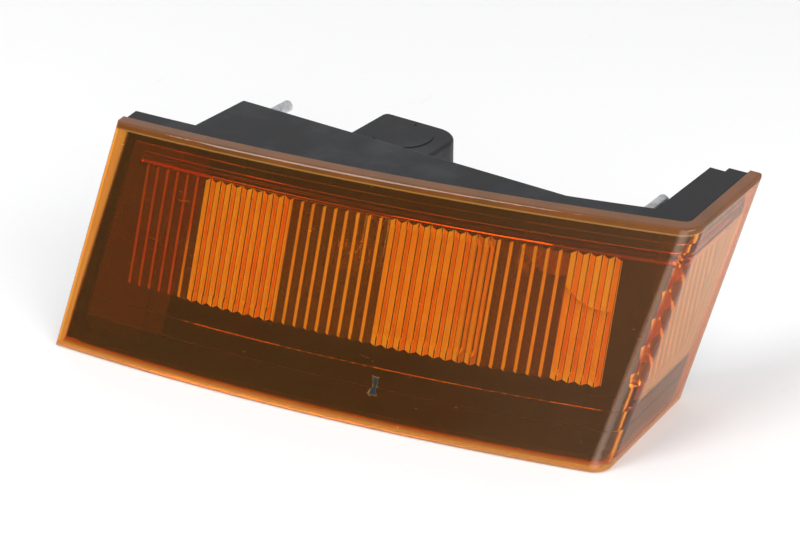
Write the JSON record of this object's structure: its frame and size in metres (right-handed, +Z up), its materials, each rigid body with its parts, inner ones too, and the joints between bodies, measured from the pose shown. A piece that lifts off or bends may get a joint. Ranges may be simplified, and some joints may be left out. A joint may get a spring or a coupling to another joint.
{
  "type": "indicator and marker lamp",
  "caption": "Wrap-round amber front indicator and side marker lamp: ribbed raked lens on a black housing with bulb holders, rear cover and rear fixing studs.",
  "frame": {"origin": "point on the flat underside, midway between the lens's lower left end and its lower bend", "axes": "+Z up, the lens faces -Y and wraps round to the +X side, the studs point along +Y"},
  "size_m": [0.2476, 0.1502, 0.0886],
  "materials": {
    "amber_plastic": "clear amber moulding, lightly scuffed",
    "black_plastic": "fine matt moulded black",
    "holder_plastic": "matt moulded black",
    "black_rubber": "matt seal rubber",
    "clear_glass": "clear bulb glass",
    "plain_brass": "plain brass, slightly dulled",
    "black_insulator": "black glassy insulator",
    "tin_solder": "dull tin solder",
    "bulb_wire": "grey drawn wire",
    "zinc_steel": "zinc plated steel"
  },
  "bodies": {
    "root": {"lens": "amber_plastic", "lens_seal": "black_rubber", "housing": "black_plastic", "rear_cover": "black_plastic", "rear_cover_seal": "black_rubber", "indicator_holder": "holder_plastic", "indicator_holder_seal": "black_rubber", "indicator_sleeve": "plain_brass", "indicator_contact": "plain_brass", "indicator_bulb_cap": "plain_brass", "indicator_bulb_insulator": "black_insulator", "indicator_bulb_solder": "tin_solder", "indicator_bulb_glass": "clear_glass", "indicator_bulb_leads": "bulb_wire", "indicator_bulb_filament": "bulb_wire", "marker_holder": "holder_plastic", "marker_holder_seal": "black_rubber", "marker_terminals": "plain_brass", "marker_bulb_glass": "clear_glass", "marker_bulb_leads": "bulb_wire", "marker_bulb_filament": "bulb_wire", "fixing_studs": "zinc_steel"}
  },
  "joints": []
}
